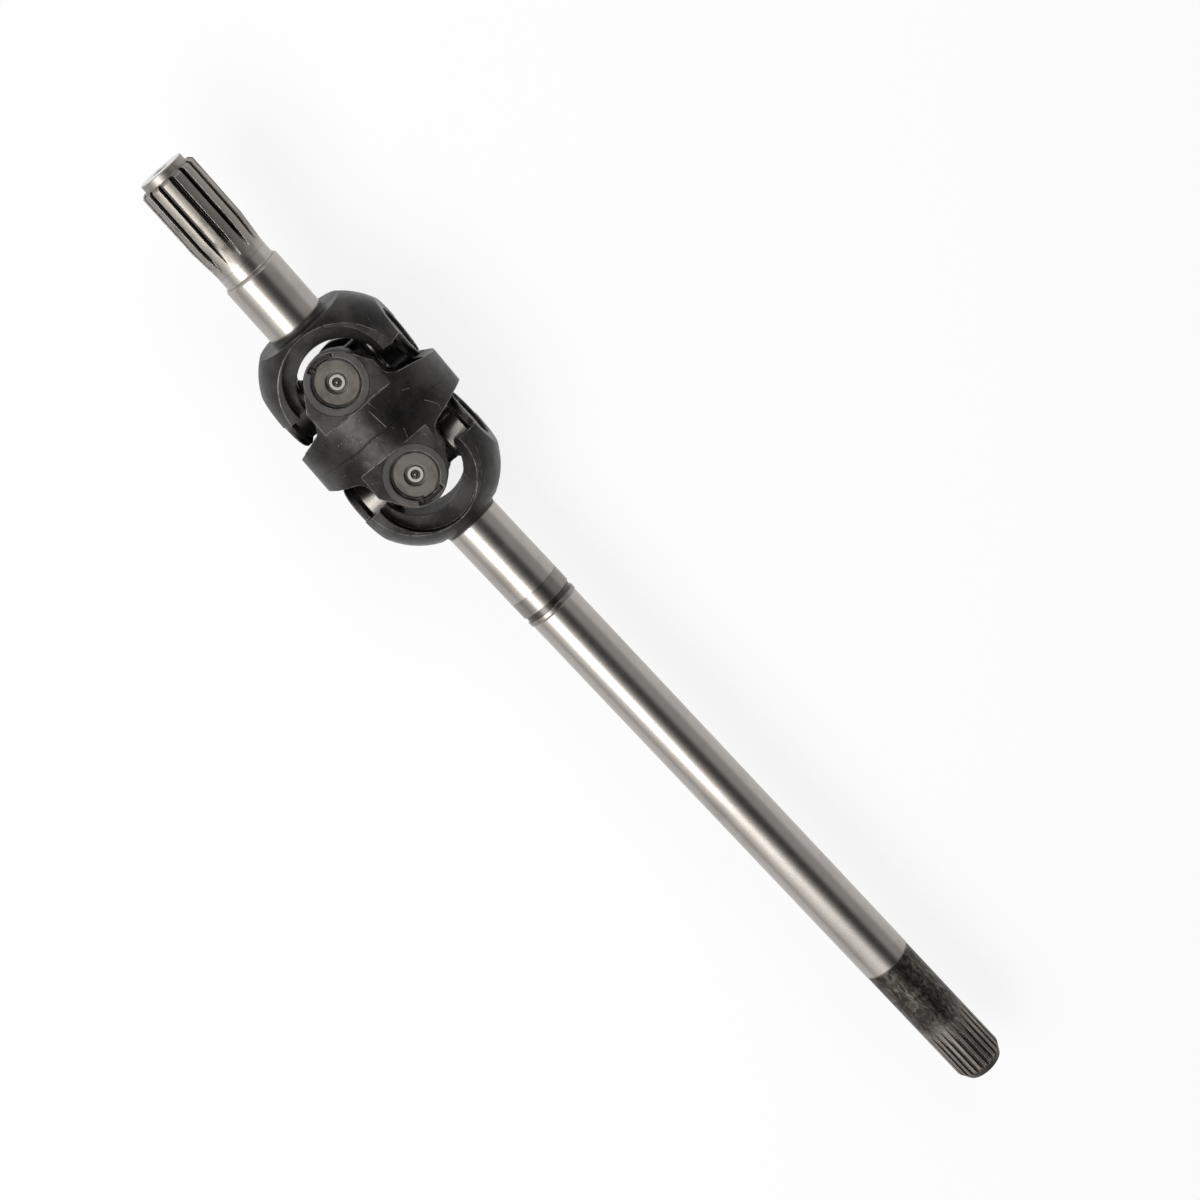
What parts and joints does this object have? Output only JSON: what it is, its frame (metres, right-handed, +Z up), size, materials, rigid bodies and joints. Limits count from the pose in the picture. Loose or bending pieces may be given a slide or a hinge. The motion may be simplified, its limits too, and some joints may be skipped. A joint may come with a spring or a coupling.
{
  "type": "double cardan drive shaft",
  "caption": "Splined axle drive shaft with a double universal joint: a coarse-splined short shaft, a central double yoke and a long shaft with a fine spline.",
  "frame": {"origin": "centre of the double joint, midway between the centres of its two crosses (the steering centre)", "axes": "+X along the centre yoke towards the long shaft, +Z up along the centre yoke's journals, on the side of the grease nipples, +Y level. It lies with the centre yoke and the long shaft's end on the ground. The long shaft is stored turned 3 degrees about +Z, and the short shaft tilted 10 degrees with its end raised."},
  "size_m": [0.7771, 0.105, 0.105],
  "materials": {
    "forged_steel": "hot forged and blackened, satin, worn at the edges",
    "ground_steel": "ground bright; the fork is forged and blackened, and the far spline is dark and mottled",
    "cross_steel": "forged body with ground journals",
    "cup_steel": "turned and lightly oiled",
    "plated_steel": "polished",
    "spring_steel": "phosphated, bright at the ends",
    "seal_rubber": "matt black",
    "needle_steel": "ground and polished"
  },
  "bodies": {
    "middle": {"centre_yoke": "forged_steel", "long_end_upper_cup": "cup_steel", "long_end_lower_cup": "cup_steel", "long_end_grease_nipple": "plated_steel", "long_end_snap_rings": "spring_steel", "short_end_upper_cup": "cup_steel", "short_end_lower_cup": "cup_steel", "short_end_grease_nipple": "plated_steel", "short_end_snap_rings": "spring_steel"},
    "long_spider": {"long_cross": "cross_steel", "long_end_seals": "seal_rubber", "long_end_needles": "needle_steel", "long_fork_seals": "seal_rubber", "long_fork_needles": "needle_steel"},
    "long_side": {"long_shaft_yoke": "ground_steel", "long_fork_cups": "cup_steel", "long_fork_snap_rings": "spring_steel"},
    "short_spider": {"short_cross": "cross_steel", "short_end_seals": "seal_rubber", "short_end_needles": "needle_steel", "short_fork_seals": "seal_rubber", "short_fork_needles": "needle_steel"},
    "short_side": {"short_shaft_yoke": "ground_steel", "short_fork_cups": "cup_steel", "short_fork_snap_rings": "spring_steel"}
  },
  "joints": [
    {"name": "long_swing", "type": "hinge", "parent": "middle", "child": "long_spider", "pos_m": [0.0355, 0, 0], "axis": [0, 0, 1], "range_deg": [-20, 14]},
    {"name": "long_tilt", "type": "hinge", "parent": "long_spider", "child": "long_side", "pos_m": [0.0355, 0, 0], "axis": [-0.0523, 0.9986, 0], "range_deg": [-15, 15]},
    {"name": "short_swing", "type": "hinge", "parent": "middle", "child": "short_spider", "pos_m": [-0.0355, 0, 0], "axis": [0, 0, 1], "range_deg": [-17, 17]},
    {"name": "short_tilt", "type": "hinge", "parent": "short_spider", "child": "short_side", "pos_m": [-0.0355, 0, 0], "axis": [0, 1, 0], "range_deg": [-25, 5]}
  ]
}
